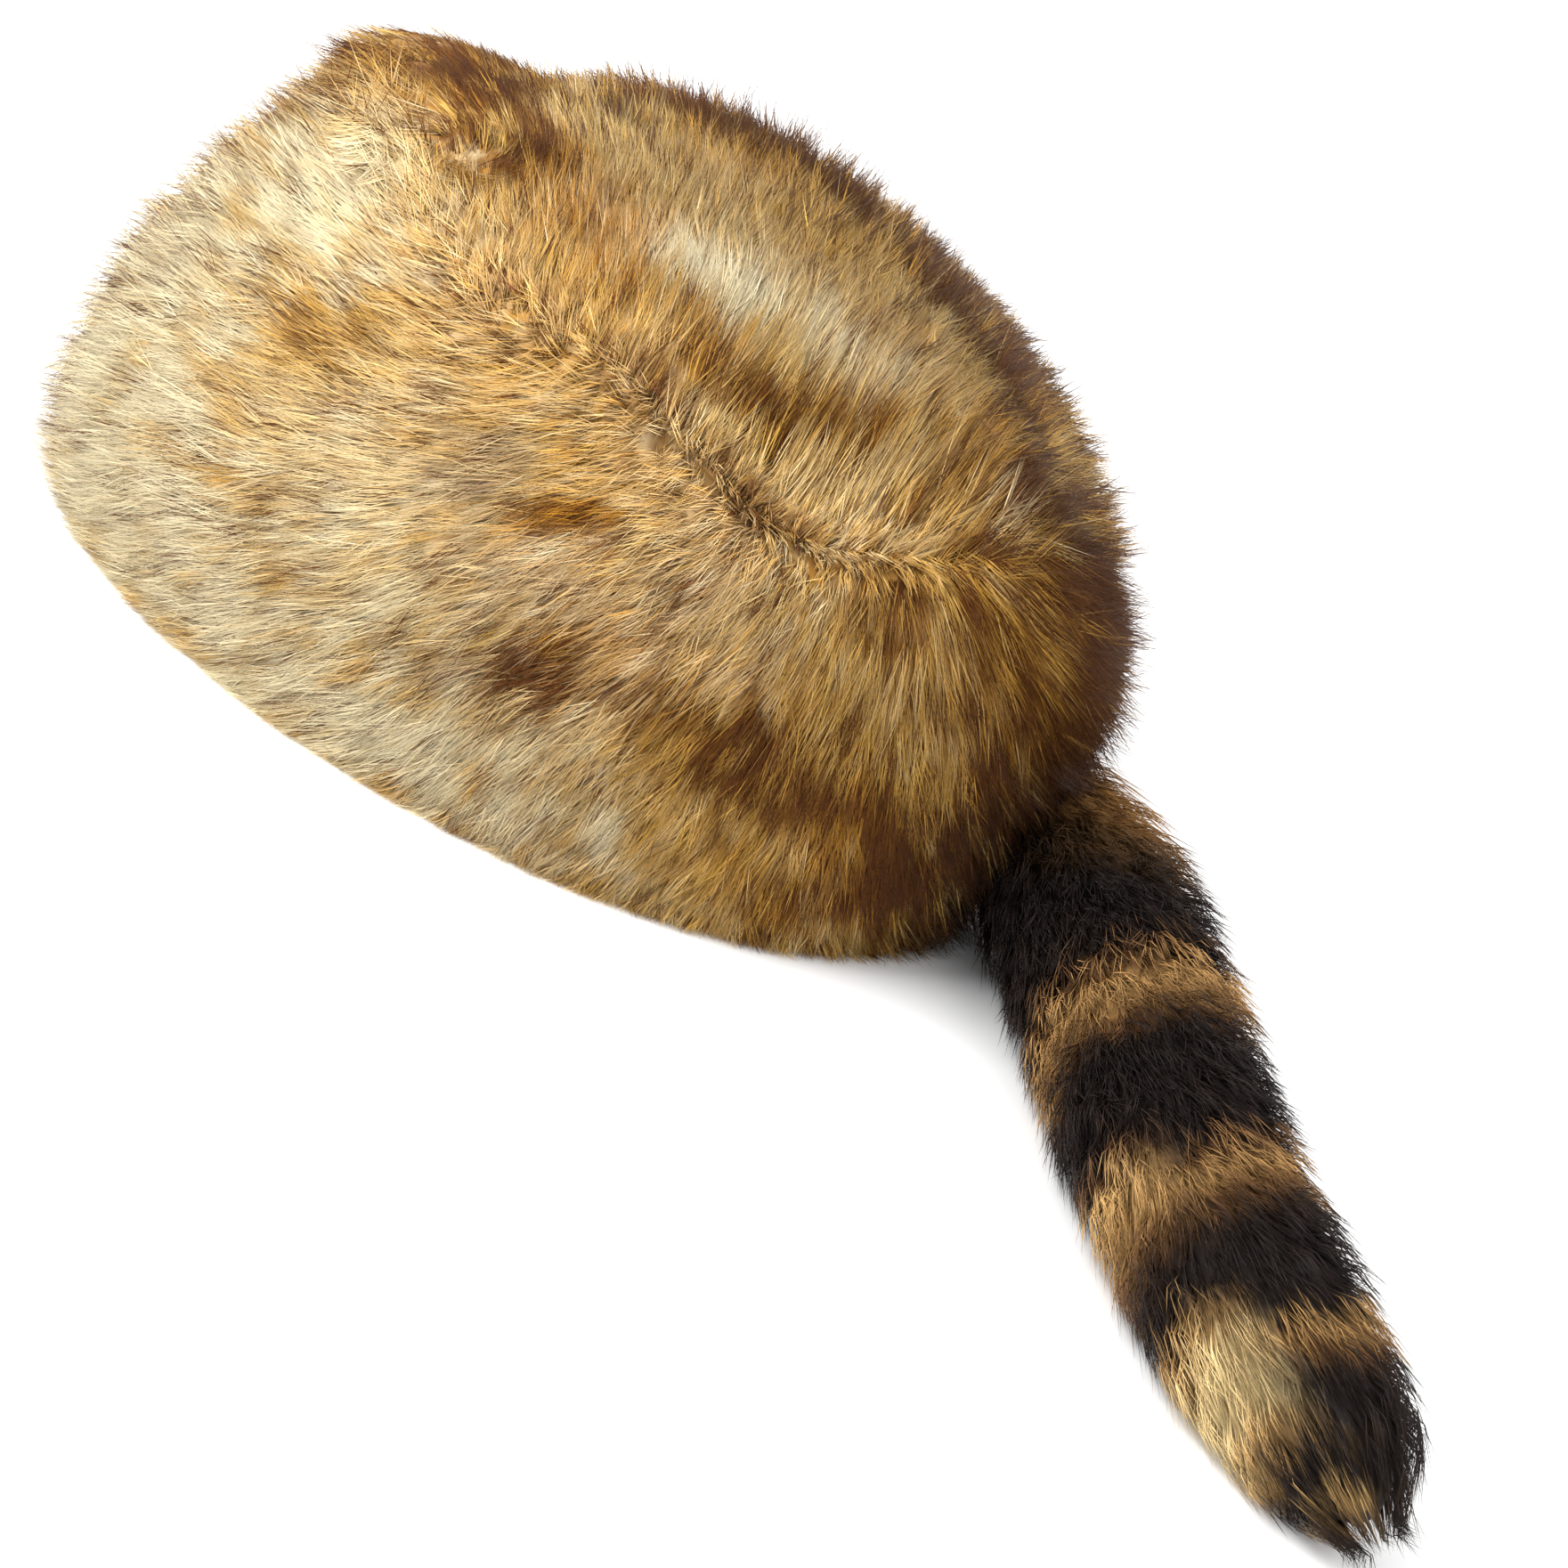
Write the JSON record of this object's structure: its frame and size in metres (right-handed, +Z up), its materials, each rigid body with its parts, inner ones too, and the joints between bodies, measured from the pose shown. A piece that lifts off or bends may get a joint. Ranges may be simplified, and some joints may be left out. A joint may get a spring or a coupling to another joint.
{
  "type": "coonskin cap",
  "caption": "Tall oval fur cap with a flat rim, a domed crown panel and a long ringed tail laid out behind it.",
  "frame": {"origin": "under the middle of the whole object's box, on the surface that the cap rests on", "axes": "+Z up, -X out of the front of the cap, +X towards the back where the tail is sewn on, -Y the wearer's left, where the tail lies"},
  "size_m": [0.3684, 0.3364, 0.1334],
  "materials": {
    "crown_fur": "golden tan fur with cream and dark brown guard hair",
    "band_fur": "golden tan fur with brown streaks and patches",
    "tail_fur": "thick fur ringed in dark brown and tan",
    "hide": "tanned hide with a soft suede face"
  },
  "bodies": {
    "root": {"crown_panel": "crown_fur", "side_band": "band_fur", "tail": "tail_fur"}
  },
  "joints": []
}
